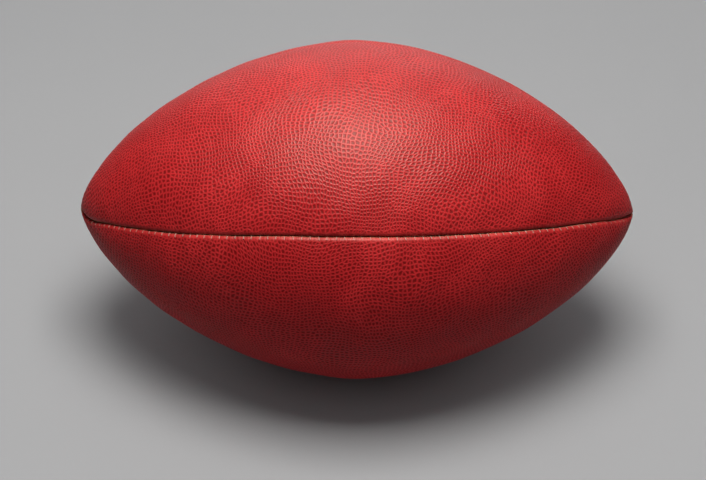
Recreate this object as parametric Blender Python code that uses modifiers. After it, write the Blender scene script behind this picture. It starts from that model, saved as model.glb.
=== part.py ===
"""American football: four lined leather panels, sewn and laced over a rubber bladder.

Metres, +Z up. The origin is the ball's centre and X is its long axis. Section angles
are measured around X, from -Y towards +Z.
"""

import math

import bmesh
import bpy
from mathutils import Matrix, Vector

# Outer shape
HALF_LENGTH = 0.140
RADIUS = 0.0861
PROFILE_POWER = 1.77
PROFILE_FULLNESS = 0.657
PILLOW_DIP = 0.0012
TIP_OPENING = 0.0010

# Seams, numbered in the order of their section angle
SEAM_NAMES = ("front", "top", "back", "bottom")
PANEL_NAMES = ("top", "back", "bottom", "front")
FIRST_SEAM_ANGLE = math.radians(32.2)
SEAM_SPACING = math.radians(90.0)
SEAM_DRIFT = {0: (math.radians(-9.4), math.radians(0.6))}
TIP_SWING = {0: (math.radians(-32.0), math.radians(-12.0))}
TIP_SWING_POWER = 24
LACE_SEAM = 2

# Layers, as depths below the outer surface
CLEARANCE = 0.00034
LEATHER = 0.0020
EDGE_ROLL = 0.0016
EDGE_ROLL_SHARE = 0.18
FLANGE_SHARE = 0.30
FLANGE_DEPTH = 0.0065
FLANGE_WIDTH = 0.0022
LACE_EDGE_DEPTH = 0.0026
LINING_TOP = 0.00235
LINING = 0.0012
LINING_EDGE = 0.0026
LINING_MIN_RADIUS = 0.012
FACING = 0.0015
FACING_EDGE = 0.0034
GUARD_TOP = 0.0072
GUARD = 0.0008
GUARD_HALF_WIDTH = 0.020
BLADDER_DEPTH = 0.0098
BLADDER_WALL = 0.0008

# Lace
LACE_WIDTH = 0.0050
LACE_THICKNESS = 0.0012
LACE_BARS = 8
LACE_PITCH = 0.0135
HOLE_OFFSET = 0.0095
END_HOLE_X = 0.054
HOLE_LONG = 0.0058
HOLE_SHORT = 0.0026
HOLE_HEIGHT = 0.010
HOLE_CENTRE_DEPTH = 0.0015
LACE_ZONE = 0.060
FACING_HALF_LENGTH = 0.058
WINDOW_SIDE_MARGIN = 0.0004
WINDOW_END_MARGIN = 0.0020
WINDOW_HEIGHT = 0.050
GUARD_HALF_LENGTH = 0.055
RUN_HEIGHT = 0.0009
RUN_STEPS = 8
BAR_HEIGHT = 0.0026
UNDER_DEPTH = 0.0061
BEND_DEPTH = 0.0057
LEG_DEPTH = 0.0051

# Where the lace comes up through a hole: distances from the hole towards the middle, and heights
RUN_START = ((0.0080, -UNDER_DEPTH), (0.0010, -UNDER_DEPTH), (0.0, -LEG_DEPTH),
             (0.0, -0.0008), (0.0003, 0.0004), (0.0014, RUN_HEIGHT))
BAR_START = ((0.0, -LEG_DEPTH), (0.0, -0.0010), (0.0002, 0.00035), (0.0012, 0.00115), (0.0049, 0.0024))

# Where the lace dips between two holes: shares of the way, and depths
UNDER_SHARES = ((0.05, BEND_DEPTH), (0.14, UNDER_DEPTH), (0.50, UNDER_DEPTH),
                (0.86, UNDER_DEPTH), (0.95, BEND_DEPTH))

# Seam threads
THREAD_RADIUS = 0.00025
THREAD_DEPTH = 0.00035
THREAD_MIN_RADIUS = 0.010
THREAD_LACE_GAP = 0.003

# Valve
VALVE_OFFSET = 0.036
VALVE_RECESS = 0.0012
STEM_RADIUS = 0.0040
STEM_LENGTH = 0.0190
NEEDLE_RADIUS = 0.0008
PLUG_RADIUS = 0.0019
PLUG_LENGTH = 0.0074
PLUG_TOP = 0.0080
PLUG_GAP = 0.0003
VALVE_HOLE_RADIUS = 0.0044
BASE_TOP = 0.0060
BASE_THICKNESS = 0.0015
BASE_RADIUS = 0.0120
BASE_BEVEL = 0.0030

# Tessellation
STATIONS = 27
PANEL_SPANS = 6
TURNED_STEPS = 20
BLADDER_STATIONS = 17


def fullness(t):
    """Section radius at station t, from -1 to 1, as a share of the largest radius."""
    return (1.0 - abs(t) ** PROFILE_POWER) ** PROFILE_FULLNESS


def station_of_radius(radius):
    """Positive station at which the section has this radius."""
    share = (radius / RADIUS) ** (1.0 / PROFILE_FULLNESS)
    return (1.0 - share) ** (1.0 / PROFILE_POWER)


def stations(count, end):
    """Stations from -end to end, closer together towards the tips."""
    reach = math.asin(end)
    return [math.sin(reach * (2.0 * i / (count - 1) - 1.0)) for i in range(count)]


def seam_angle(seam, t):
    """Section angle of a seam at station t."""
    end = 0 if t < 0.0 else 1
    drift = SEAM_DRIFT.get(seam % 4, (0.0, 0.0))[end]
    swing = TIP_SWING.get(seam % 4, (0.0, 0.0))[end]
    straight = FIRST_SEAM_ANGLE + SEAM_SPACING * seam
    return straight + drift * t * t + swing * abs(t) ** TIP_SWING_POWER


def panel_width(panel, t):
    """Arc length across a panel at station t."""
    return RADIUS * fullness(t) * (seam_angle(panel + 1, t) - seam_angle(panel, t))


def seam_point(seam, t, offset, depth):
    """Point at an arc distance from a seam, at a depth below the outer surface."""
    panel = seam if offset >= 0.0 else seam - 1
    share = abs(offset) / panel_width(panel, t)
    sunk = depth + PILLOW_DIP * (2.0 * share - 1.0) ** 4
    angle = seam_angle(seam, t) + offset / (RADIUS * fullness(t))
    ring = (RADIUS - sunk) * fullness(t)
    x = (HALF_LENGTH - sunk) * t
    return Vector((x, -ring * math.cos(angle), ring * math.sin(angle)))


def lace_frame(x, offset, height):
    """Matrix at a height over the leather near the lace seam: X along, Y across, Z outwards."""
    step = 0.001
    reach = HALF_LENGTH - PILLOW_DIP
    origin = seam_point(LACE_SEAM, x / reach, offset, 0.0)
    along = (seam_point(LACE_SEAM, (x + step) / reach, offset, 0.0) - origin).normalized()
    radial = Vector((0.0, origin.y, origin.z)).normalized()
    across = radial.cross(along).normalized()
    outward = along.cross(across)
    matrix = Matrix((along, across, outward)).transposed().to_4x4()
    matrix.translation = origin + outward * height
    return matrix


def make_collection(name):
    collection = bpy.data.collections.new(name)
    bpy.context.scene.collection.children.link(collection)
    return collection


def make_material(name, color, roughness, metallic=0.0):
    material = bpy.data.materials.new(name)
    material.use_nodes = True
    shader = material.node_tree.nodes["Principled BSDF"]
    shader.inputs["Base Color"].default_value = (*color, 1.0)
    shader.inputs["Roughness"].default_value = roughness
    shader.inputs["Metallic"].default_value = metallic
    material.diffuse_color = (*color, 1.0)
    return material


def add_object(name, data, collection, color=None, roughness=0.5):
    obj = bpy.data.objects.new(name, data)
    collection.objects.link(obj)
    if color is not None:
        data.materials.append(make_material(name, color, roughness))
    return obj


def mesh_from_bmesh(name, bm):
    bmesh.ops.recalc_face_normals(bm, faces=bm.faces)
    mesh = bpy.data.meshes.new(name)
    bm.to_mesh(mesh)
    bm.free()
    return mesh


def shade_round(mesh, degrees=35.0):
    mesh.shade_smooth()
    mesh.set_sharp_from_angle(angle=math.radians(degrees))


def layer_mesh(name, outer, inner):
    """Closed sheet between two grids of points that match row for row."""
    bm = bmesh.new()
    top = [[bm.verts.new(point) for point in row] for row in outer]
    under = [[bm.verts.new(point) for point in row] for row in inner]
    last_row = len(top) - 1
    last_column = len(top[0]) - 1
    for i in range(last_row):
        for j in range(last_column):
            bm.faces.new((top[i][j], top[i + 1][j], top[i + 1][j + 1], top[i][j + 1]))
            bm.faces.new((under[i][j], under[i][j + 1], under[i + 1][j + 1], under[i + 1][j]))
        for j in (0, last_column):
            bm.faces.new((top[i][j], under[i][j], under[i + 1][j], top[i + 1][j]))
    for i in (0, last_row):
        for j in range(last_column):
            bm.faces.new((top[i][j], top[i][j + 1], under[i][j + 1], under[i][j]))
    mesh = mesh_from_bmesh(name, bm)
    shade_round(mesh)
    return mesh


def add_cut(obj, cutter):
    cut = obj.modifiers.new("cut_" + cutter.name, "BOOLEAN")
    cut.operation = "DIFFERENCE"
    cut.solver = "EXACT"
    cut.object = cutter


def hide_cutter(cutter):
    cutter.hide_render = True
    cutter.display_type = "WIRE"


def in_lace_zone(seam, t):
    return seam % 4 == LACE_SEAM and abs(t) * HALF_LENGTH < LACE_ZONE


def panel_rows(panel, t):
    """Outer and inner points across one panel, from one turned-in edge to the other."""
    width = panel_width(panel, t)
    start = CLEARANCE / 2.0
    roll = min(EDGE_ROLL, EDGE_ROLL_SHARE * width)
    flange = min(FLANGE_WIDTH, FLANGE_SHARE * width)
    bevel = roll * (1.0 - math.sqrt(0.5))
    edges = []
    for seam in (panel, panel + 1):
        depth = LACE_EDGE_DEPTH if in_lace_zone(seam, t) else FLANGE_DEPTH
        edges.append([(start, roll, start, depth),
                      (start + bevel, bevel, start + flange, depth),
                      (start + roll, 0.0, start + flange, LEATHER)])
    columns = list(edges[0])
    for span in range(1, PANEL_SPANS):
        middle = width * span / PANEL_SPANS
        columns.append((middle, 0.0, middle, LEATHER))
    for top_offset, top_depth, under_offset, under_depth in reversed(edges[1]):
        columns.append((width - top_offset, top_depth, width - under_offset, under_depth))
    outer = [seam_point(panel, t, column[0], column[1]) for column in columns]
    inner = [seam_point(panel, t, column[2], column[3]) for column in columns]
    return outer, inner


def make_panel(panel, collection):
    end = station_of_radius(TIP_OPENING)
    rows = [panel_rows(panel, t) for t in stations(STATIONS, end)]
    name = "panel_" + PANEL_NAMES[panel]
    mesh = layer_mesh(name, [row[0] for row in rows], [row[1] for row in rows])
    return add_object(name, mesh, collection, (0.30, 0.012, 0.014), 0.45)


def lining_offsets(width):
    middle = [width * span / PANEL_SPANS for span in range(1, PANEL_SPANS)]
    return [LINING_EDGE, *middle, width - LINING_EDGE]


def make_lining(panel, collection):
    limit = station_of_radius(LINING_MIN_RADIUS)
    end = station_of_radius(TIP_OPENING)
    outer, inner = [], []
    for t in stations(STATIONS, end):
        if abs(t) > limit:
            continue
        offsets = lining_offsets(panel_width(panel, t))
        outer.append([seam_point(panel, t, s, LINING_TOP) for s in offsets])
        inner.append([seam_point(panel, t, s, LINING_TOP + LINING) for s in offsets])
    name = "lining_" + PANEL_NAMES[panel]
    mesh = layer_mesh(name, outer, inner)
    return add_object(name, mesh, collection, (0.62, 0.60, 0.54), 0.9)


def lace_zone_stations(half_length):
    """The panels' stations within a half length of the middle, closed at its ends."""
    end = station_of_radius(TIP_OPENING)
    limit = half_length / HALF_LENGTH
    inside = [t for t in stations(STATIONS, end) if abs(t) < limit - 0.01]
    return [-limit, *inside, limit]


def make_facing(side, name, collection):
    """Strip that backs one edge of the lace opening; side is 1 or -1."""
    panel = LACE_SEAM if side > 0 else LACE_SEAM - 1
    outer, inner = [], []
    for t in lace_zone_stations(FACING_HALF_LENGTH):
        far = panel_width(panel, t) / PANEL_SPANS
        offsets = (side * FACING_EDGE, side * far)
        outer.append([seam_point(LACE_SEAM, t, s, LINING_TOP) for s in offsets])
        inner.append([seam_point(LACE_SEAM, t, s, LINING_TOP + FACING) for s in offsets])
    mesh = layer_mesh(name, outer, inner)
    return add_object(name, mesh, collection, (0.10, 0.09, 0.08), 0.7)


def make_guard(collection):
    """Flap between the lace and the bladder."""
    offsets = [GUARD_HALF_WIDTH * step / 2.0 for step in range(-2, 3)]
    outer, inner = [], []
    for t in lace_zone_stations(GUARD_HALF_LENGTH):
        outer.append([seam_point(LACE_SEAM, t, s, GUARD_TOP) for s in offsets])
        inner.append([seam_point(LACE_SEAM, t, s, GUARD_TOP + GUARD) for s in offsets])
    mesh = layer_mesh("bladder_guard", outer, inner)
    return add_object("bladder_guard", mesh, collection, (0.20, 0.12, 0.07), 0.8)


def lace_bar_positions():
    """Length positions of the cross bars, from +X to -X."""
    return [LACE_PITCH * ((LACE_BARS - 1) / 2.0 - bar) for bar in range(LACE_BARS)]


def lace_run_route():
    """The stretch along the seam: up through one end hole and down the other."""
    start = [(-END_HOLE_X + inward, 0.0, height, 1.0) for inward, height in RUN_START]
    reach = END_HOLE_X - RUN_START[-1][0]
    middle = [(reach * (2.0 * i / RUN_STEPS - 1.0), 0.0, RUN_HEIGHT, 1.0) for i in range(1, RUN_STEPS)]
    end = [(-x, s, height, turn) for x, s, height, turn in reversed(start[2:])]
    return start + middle + end


def lace_bar_route(x):
    """One cross bar: up through one hole, over the long run, down the other."""
    up = [(x, inward - HOLE_OFFSET, height, 0.0) for inward, height in BAR_START]
    down = [(x, -s, height, turn) for _, s, height, turn in reversed(up)]
    return up + [(x, 0.0, BAR_HEIGHT, 0.0)] + down


def lace_under_route(x_from, s_from, x_to, s_to):
    """The stretch inside the ball between two holes."""
    turn = math.atan2(x_to - x_from, s_from - s_to) / (math.pi / 2.0)
    return [(x_from + (x_to - x_from) * share, s_from + (s_to - s_from) * share, -depth, turn)
            for share, depth in UNDER_SHARES]


def lace_route():
    """Whole route of the lace: (x, offset, height, turn), turn 1 when its width is across."""
    bars = lace_bar_positions()
    route = lace_run_route()
    route += lace_under_route(END_HOLE_X, 0.0, bars[0], -HOLE_OFFSET)
    for index, x in enumerate(bars):
        route += lace_bar_route(x)
        if index + 1 < len(bars):
            route += lace_under_route(x, HOLE_OFFSET, bars[index + 1], -HOLE_OFFSET)
    tail = lace_under_route(bars[-1], HOLE_OFFSET, bars[-1] + LACE_PITCH / 2.0, 0.0)
    return route + tail[:3]


def width_direction(frame, turn, travel):
    """Direction of the lace's width at a route point, square to its travel."""
    angle = turn * math.pi / 2.0
    flat = frame.to_3x3() @ Vector((math.cos(angle), math.sin(angle), 0.0))
    return (flat - travel * flat.dot(travel)).normalized()


def make_lace(collection):
    """The lace, one flat band swept along its whole route."""
    route = lace_route()
    frames = [lace_frame(x, s, height) for x, s, height, _ in route]
    points = [frame.to_translation() for frame in frames]
    bm = bmesh.new()
    rings = []
    previous = None
    for index, frame in enumerate(frames):
        ahead = points[min(index + 1, len(points) - 1)]
        behind = points[max(index - 1, 0)]
        travel = (ahead - behind).normalized()
        wide = width_direction(frame, route[index][3], travel)
        if previous is not None and wide.dot(previous) < 0.0:
            wide = -wide
        previous = wide
        thick = travel.cross(wide)
        corners = ((-1, -1), (1, -1), (1, 1), (-1, 1))
        rings.append([bm.verts.new(points[index] + wide * (a * LACE_WIDTH / 2.0)
                                   + thick * (b * LACE_THICKNESS / 2.0)) for a, b in corners])
    for first, second in zip(rings, rings[1:]):
        for corner in range(4):
            following = (corner + 1) % 4
            bm.faces.new((first[corner], first[following], second[following], second[corner]))
    bm.faces.new(rings[0])
    bm.faces.new(reversed(rings[-1]))
    return add_object("lace", mesh_from_bmesh("lace", bm), collection, (0.80, 0.78, 0.73), 0.55)


def make_lace_cutter(collection):
    """Slots for the lace: one pair for each bar and one at each end of the long run."""
    slots = [(x, side * HOLE_OFFSET, HOLE_LONG, HOLE_SHORT)
             for x in lace_bar_positions() for side in (-1, 1)]
    slots += [(side * END_HOLE_X, 0.0, HOLE_SHORT, HOLE_LONG) for side in (-1, 1)]
    bm = bmesh.new()
    for x, offset, along, across in slots:
        frame = lace_frame(x, offset, -HOLE_CENTRE_DEPTH)
        shape = frame @ Matrix.Diagonal((along, across, HOLE_HEIGHT, 1.0))
        bmesh.ops.create_cube(bm, size=1.0, matrix=shape)
    cutter = add_object("lace_hole_cutter", mesh_from_bmesh("lace_hole_cutter", bm), collection)
    hide_cutter(cutter)
    return cutter


def make_lining_window(collection):
    """Cutter that clears the linings away around the lace opening."""
    half_angle = SEAM_SPACING / PANEL_SPANS
    half_width = RADIUS * math.sin(half_angle) + WINDOW_SIDE_MARGIN
    bm = bmesh.new()
    frame = lace_frame(0.0, 0.0, 0.0)
    size = (2.0 * (FACING_HALF_LENGTH + WINDOW_END_MARGIN), 2.0 * half_width, WINDOW_HEIGHT, 1.0)
    bmesh.ops.create_cube(bm, size=1.0, matrix=frame @ Matrix.Diagonal(size))
    name = "lining_window_cutter"
    cutter = add_object(name, mesh_from_bmesh(name, bm), collection)
    hide_cutter(cutter)
    return cutter


def make_turned(name, profile, collection, color, roughness, closed=True):
    """Body turned about its local Z from (radius, height) points."""
    mesh = bpy.data.meshes.new(name)
    verts = [(radius, 0.0, height) for radius, height in profile]
    edges = [(i, i + 1) for i in range(len(verts) - 1)]
    if closed:
        edges.append((len(verts) - 1, 0))
    mesh.from_pydata(verts, edges, [])
    obj = add_object(name, mesh, collection, color, roughness)
    screw = obj.modifiers.new("turn", "SCREW")
    screw.steps = TURNED_STEPS
    screw.render_steps = TURNED_STEPS
    screw.use_merge_vertices = True
    screw.merge_threshold = 0.00001
    return obj


def make_bladder(collection):
    """Closed rubber bag; its two walls run from tip to tip, turned about the long axis."""
    ts = stations(BLADDER_STATIONS, 1.0)
    mesh = bpy.data.meshes.new("bladder")
    verts, edges = [], []
    for depth, order in ((BLADDER_DEPTH, reversed(ts)), (BLADDER_DEPTH + BLADDER_WALL, ts)):
        first = len(verts)
        verts += [((RADIUS - depth) * fullness(t), 0.0, (HALF_LENGTH - depth) * t) for t in order]
        edges += [(i, i + 1) for i in range(first, len(verts) - 1)]
    mesh.from_pydata(verts, edges, [])
    obj = add_object("bladder", mesh, collection, (0.02, 0.02, 0.02), 0.6)
    obj.rotation_euler = (0.0, math.pi / 2.0, 0.0)
    screw = obj.modifiers.new("turn", "SCREW")
    screw.steps = TURNED_STEPS
    screw.render_steps = TURNED_STEPS
    screw.use_merge_vertices = True
    screw.merge_threshold = 0.00001
    return obj


def place_on_valve_axis(obj, depth):
    """Put an object's origin on the valve's axis, with its local Z pointing outwards."""
    angle = seam_angle(LACE_SEAM, 0.0) - VALVE_OFFSET / RADIUS
    outward = Vector((0.0, -math.cos(angle), math.sin(angle)))
    obj.rotation_euler = outward.to_track_quat("Z", "Y").to_euler()
    obj.location = outward * (RADIUS - depth)


def make_valve_cutter(collection):
    bm = bmesh.new()
    bmesh.ops.create_cone(bm, cap_ends=True, segments=TURNED_STEPS, radius1=VALVE_HOLE_RADIUS,
                          radius2=VALVE_HOLE_RADIUS, depth=0.030)
    cutter = add_object("valve_hole_cutter", mesh_from_bmesh("valve_hole_cutter", bm), collection)
    place_on_valve_axis(cutter, 0.005)
    hide_cutter(cutter)
    return cutter


def make_valve_stem(collection):
    """Rubber stem with a needle channel that widens around the plug."""
    pocket = PLUG_RADIUS + PLUG_GAP
    pocket_top = -PLUG_TOP + PLUG_GAP
    pocket_bottom = -PLUG_TOP - PLUG_LENGTH - PLUG_GAP
    chamfer = 0.0004
    profile = [(NEEDLE_RADIUS, 0.0), (STEM_RADIUS - chamfer, 0.0), (STEM_RADIUS, -chamfer),
               (STEM_RADIUS, -STEM_LENGTH), (NEEDLE_RADIUS, -STEM_LENGTH),
               (NEEDLE_RADIUS, pocket_bottom), (pocket, pocket_bottom),
               (pocket, pocket_top), (NEEDLE_RADIUS, pocket_top)]
    stem = make_turned("valve_stem", profile, collection, (0.03, 0.03, 0.03), 0.6)
    place_on_valve_axis(stem, VALVE_RECESS)
    return stem


def make_valve_plug(collection):
    """Self-sealing rubber plug that the needle parts."""
    chamfer = 0.0003
    bottom = -PLUG_TOP - PLUG_LENGTH
    profile = [(0.0, -PLUG_TOP), (PLUG_RADIUS - chamfer, -PLUG_TOP),
               (PLUG_RADIUS, -PLUG_TOP - chamfer), (PLUG_RADIUS, bottom + chamfer),
               (PLUG_RADIUS - chamfer, bottom), (0.0, bottom)]
    plug = make_turned("valve_plug", profile, collection, (0.25, 0.05, 0.04), 0.6, closed=False)
    place_on_valve_axis(plug, VALVE_RECESS)
    return plug


def make_valve_base(collection):
    """Reinforcing disc around the stem, on the bladder."""
    rim = 0.0006
    bottom = -BASE_TOP - BASE_THICKNESS
    profile = [(VALVE_HOLE_RADIUS, -BASE_TOP), (BASE_RADIUS - BASE_BEVEL, -BASE_TOP),
               (BASE_RADIUS, bottom + rim), (BASE_RADIUS, bottom), (VALVE_HOLE_RADIUS, bottom)]
    base = make_turned("valve_base", profile, collection, (0.05, 0.05, 0.05), 0.7)
    place_on_valve_axis(base, VALVE_RECESS)
    return base


def make_seam_thread(name, seam, ts, collection):
    """Thread in the groove between two turned-in edges."""
    curve = bpy.data.curves.new(name, "CURVE")
    curve.dimensions = "3D"
    curve.bevel_depth = THREAD_RADIUS
    curve.bevel_resolution = 1
    curve.use_fill_caps = True
    spline = curve.splines.new("POLY")
    spline.points.add(len(ts) - 1)
    for point, t in zip(spline.points, ts):
        point.co = (*seam_point(seam, t, 0.0, THREAD_DEPTH), 1.0)
    return add_object(name, curve, collection, (0.62, 0.50, 0.34), 0.8)


def make_seam_threads(collection):
    limit = station_of_radius(THREAD_MIN_RADIUS)
    ts = [t for t in stations(STATIONS, station_of_radius(TIP_OPENING)) if abs(t) < limit]
    for seam, side in enumerate(SEAM_NAMES):
        name = "seam_thread_" + side
        if seam == LACE_SEAM:
            zone = (LACE_ZONE + THREAD_LACE_GAP) / HALF_LENGTH
            make_seam_thread(name + "_left", seam, [t for t in ts if t < -zone], collection)
            make_seam_thread(name + "_right", seam, [t for t in ts if t > zone], collection)
        else:
            make_seam_thread(name, seam, ts, collection)


def build():
    for obj in list(bpy.data.objects):
        bpy.data.objects.remove(obj)
    parts = make_collection("american_football")
    cutters = make_collection("cutters")
    lace_holes = make_lace_cutter(cutters)
    lining_window = make_lining_window(cutters)
    valve_hole = make_valve_cutter(cutters)
    panels = [make_panel(panel, parts) for panel in range(4)]
    linings = [make_lining(panel, parts) for panel in range(4)]
    before, after = LACE_SEAM - 1, LACE_SEAM
    for panel in (before, after):
        add_cut(panels[panel], lace_holes)
        add_cut(linings[panel], lining_window)
    for side, panel in ((-1, before), (1, after)):
        facing = make_facing(side, "facing_" + PANEL_NAMES[panel], parts)
        add_cut(facing, lace_holes)
    make_guard(parts)
    make_lace(parts)
    bladder = make_bladder(parts)
    for obj in (panels[before], linings[before], bladder):
        add_cut(obj, valve_hole)
    make_valve_stem(parts)
    make_valve_base(parts)
    make_valve_plug(parts)
    make_seam_threads(parts)


build()
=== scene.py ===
import math

import bmesh
import bpy
import numpy as np
from mathutils import Matrix, Vector


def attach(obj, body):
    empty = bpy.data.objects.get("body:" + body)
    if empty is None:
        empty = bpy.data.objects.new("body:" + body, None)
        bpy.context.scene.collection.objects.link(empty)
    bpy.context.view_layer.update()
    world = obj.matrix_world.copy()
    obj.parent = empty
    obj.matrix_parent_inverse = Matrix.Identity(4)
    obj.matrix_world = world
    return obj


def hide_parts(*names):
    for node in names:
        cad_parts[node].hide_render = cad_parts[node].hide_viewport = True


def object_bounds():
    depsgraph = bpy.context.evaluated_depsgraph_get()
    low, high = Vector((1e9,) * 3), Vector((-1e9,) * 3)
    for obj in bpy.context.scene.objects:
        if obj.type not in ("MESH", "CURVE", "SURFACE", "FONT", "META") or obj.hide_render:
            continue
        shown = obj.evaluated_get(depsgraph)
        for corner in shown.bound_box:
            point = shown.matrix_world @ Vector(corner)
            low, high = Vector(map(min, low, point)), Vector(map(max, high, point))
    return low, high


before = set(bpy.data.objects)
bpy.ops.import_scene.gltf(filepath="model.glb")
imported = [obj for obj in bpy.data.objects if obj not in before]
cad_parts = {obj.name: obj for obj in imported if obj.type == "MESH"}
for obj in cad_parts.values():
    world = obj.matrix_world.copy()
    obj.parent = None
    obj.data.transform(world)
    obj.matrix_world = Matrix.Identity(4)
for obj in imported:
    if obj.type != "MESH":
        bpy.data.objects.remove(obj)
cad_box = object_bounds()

# ---- dimensions, as in the CAD model
HALF_LENGTH = 0.140
RADIUS = 0.0861
PROFILE_POWER = 1.77
PROFILE_FULLNESS = 0.657
PILLOW_DIP = 0.0012
TIP_OPENING = 0.0010
FIRST_SEAM_ANGLE = math.radians(32.2)
SEAM_SPACING = math.radians(90.0)
SEAM_DRIFT = {0: (math.radians(-9.4), math.radians(0.6))}
TIP_SWING = {0: (math.radians(-32.0), math.radians(-12.0))}
TIP_SWING_POWER = 24
LACE_SEAM = 2
CLEARANCE = 0.00034
LEATHER = 0.0020
FLANGE_DEPTH = 0.0065
FLANGE_WIDTH = 0.0022
FLANGE_SHARE = 0.30
ROLL_SHARE = 0.18
LACE_EDGE_DEPTH = 0.0026
LACE_ZONE = 0.060
LINING_TOP = 0.00235
LINING = 0.0012
LINING_EDGE = 0.0026
LINING_MIN_RADIUS = 0.012
FACING = 0.0015
FACING_EDGE = 0.0034
FACING_HALF_LENGTH = 0.058
WINDOW_SIDE_MARGIN = 0.0004
WINDOW_END_MARGIN = 0.0020
WINDOW_HEIGHT = 0.050
GUARD_TOP = 0.0072
GUARD = 0.0008
GUARD_HALF_WIDTH = 0.020
GUARD_HALF_LENGTH = 0.055
BLADDER_DEPTH = 0.0098
BLADDER_WALL = 0.0008
PANEL_SPANS = 6
LACE_WIDTH = 0.0050
LACE_THICKNESS = 0.0012
LACE_BARS = 8
LACE_PITCH = 0.0135
HOLE_OFFSET = 0.0095
END_HOLE_X = 0.054
HOLE_LONG = 0.0058
HOLE_SHORT = 0.0026
HOLE_HEIGHT = 0.010
HOLE_CENTRE_DEPTH = 0.0015
RUN_HEIGHT = 0.0009
RUN_STEPS = 8
BAR_HEIGHT = 0.0026
UNDER_DEPTH = 0.0061
BEND_DEPTH = 0.0057
LEG_DEPTH = 0.0051
RUN_START = ((0.0080, -UNDER_DEPTH), (0.0010, -UNDER_DEPTH), (0.0, -LEG_DEPTH),
             (0.0, -0.0008), (0.0003, 0.0004), (0.0014, RUN_HEIGHT))
BAR_START = ((0.0, -LEG_DEPTH), (0.0, -0.0010), (0.0002, 0.00035), (0.0012, 0.00115), (0.0049, 0.0024))
UNDER_SHARES = ((0.05, BEND_DEPTH), (0.14, UNDER_DEPTH), (0.50, UNDER_DEPTH),
                (0.86, UNDER_DEPTH), (0.95, BEND_DEPTH))
THREAD_MIN_RADIUS = 0.010
THREAD_LACE_GAP = 0.003
VALVE_OFFSET = 0.036
VALVE_RECESS = 0.0012
VALVE_HOLE_RADIUS = 0.0044
STEM_RADIUS = 0.0040
STEM_LENGTH = 0.0190
NEEDLE_RADIUS = 0.0008
PLUG_RADIUS = 0.0019
PLUG_LENGTH = 0.0074
PLUG_TOP = 0.0080
PLUG_GAP = 0.0003
BASE_TOP = 0.0060
BASE_THICKNESS = 0.0015
BASE_RADIUS = 0.0120
BASE_BEVEL = 0.0030

PANEL_NAMES = ("top", "back", "bottom", "front")
SEAM_NAMES = ("front", "top", "back", "bottom")

# ---- looks
MESH_SPACING = 0.00062
GRAIN_PITCH = 0.00196
GRAIN_TURN = (4.0, -5.0, 6.0, -4.0)
GRAIN_RELIEF = 0.00006
GRAIN_BUMP = 0.00013
GRAIN_JITTER = 0.58
LIP_WIDTH = 0.0023
LIP_DEPTH = 0.0017
LACE_SQUARENESS = 0.38
LACE_CROWN = 0.10
LACE_PINCH = 0.10
HOLE_DIP = 0.00045
HOLE_DIP_RADIUS = 0.0032
VALVE_DIP = 0.0005
VALVE_DIP_RADIUS = 0.0035
PUCKER_HEIGHT = 0.00010
PUCKER_FADE = 0.004
STITCH_PITCH = 0.0042
STITCH_RADIUS = 0.00019
STRAND_DEPTH = 0.00230
CAMERA_DISTANCE = 1.2
CAMERA_ELEVATION = math.radians(42.0)
CAMERA_ROLL = math.radians(0.65)
CAMERA_LOWERED = 0.0157
CAMERA_LEFT = 0.0018
CAMERA_LENS = 120.6
FLOOR_HALF = 6.0
FLOOR_GAP = 0.0001


# ---- the ball's surface
def fullness(t):
    """Share of the full radius at a station: 1 in the middle, t 0, and 0 at the tips, t -1 and 1."""
    return (1.0 - np.minimum(np.abs(t), 1.0) ** PROFILE_POWER) ** PROFILE_FULLNESS


def station_of_radius(radius):
    """Station of the ring of this radius towards +X."""
    share = (radius / RADIUS) ** (1.0 / PROFILE_FULLNESS)
    return (1.0 - share) ** (1.0 / PROFILE_POWER)


def seam_angle(seam, t):
    """Angle of a seam round the ball, with its drift and its swing just before the tips."""
    left, right = SEAM_DRIFT.get(seam % 4, (0.0, 0.0))
    swing_left, swing_right = TIP_SWING.get(seam % 4, (0.0, 0.0))
    angle = FIRST_SEAM_ANGLE + SEAM_SPACING * seam + np.where(t < 0.0, left, right) * t * t
    return angle + np.where(t < 0.0, swing_left, swing_right) * np.abs(t) ** TIP_SWING_POWER


def panel_width(panel, t):
    return RADIUS * fullness(t) * (seam_angle(panel + 1, t) - seam_angle(panel, t))


def surface(seam, t, offset, depth):
    """Points at arc distances from a seam, at depths below the outer surface."""
    t, offset, depth = np.broadcast_arrays(np.asarray(t, float), offset, depth)
    width = np.where(offset >= 0.0, panel_width(seam, t), panel_width(seam - 1, t))
    sunk = depth + PILLOW_DIP * (2.0 * np.abs(offset) / width - 1.0) ** 4
    angle = seam_angle(seam, t) + offset / (RADIUS * fullness(t))
    ring = (RADIUS - sunk) * fullness(t)
    return np.stack([(HALF_LENGTH - sunk) * t, -ring * np.cos(angle), ring * np.sin(angle)], axis=-1)


TIP_STATION = station_of_radius(TIP_OPENING)
TABLE_T = np.sin(np.linspace(-math.asin(TIP_STATION), math.asin(TIP_STATION), 4001))
TABLE_STEP = np.hypot(np.diff(HALF_LENGTH * TABLE_T), np.diff(RADIUS * fullness(TABLE_T)))
TABLE_ARC = np.concatenate([[0.0], np.cumsum(TABLE_STEP)])
TABLE_ARC -= TABLE_ARC[-1] / 2.0
TABLE_SLOPE = np.gradient(RADIUS * fullness(TABLE_T), TABLE_ARC)


def arc_at(t):
    """Arc distance of a station from the middle, along the ball's length."""
    return np.interp(t, TABLE_T, TABLE_ARC)


def station_at(arc):
    """Station at an arc distance from the middle, along the ball's length."""
    return np.interp(arc, TABLE_ARC, TABLE_T)


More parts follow.
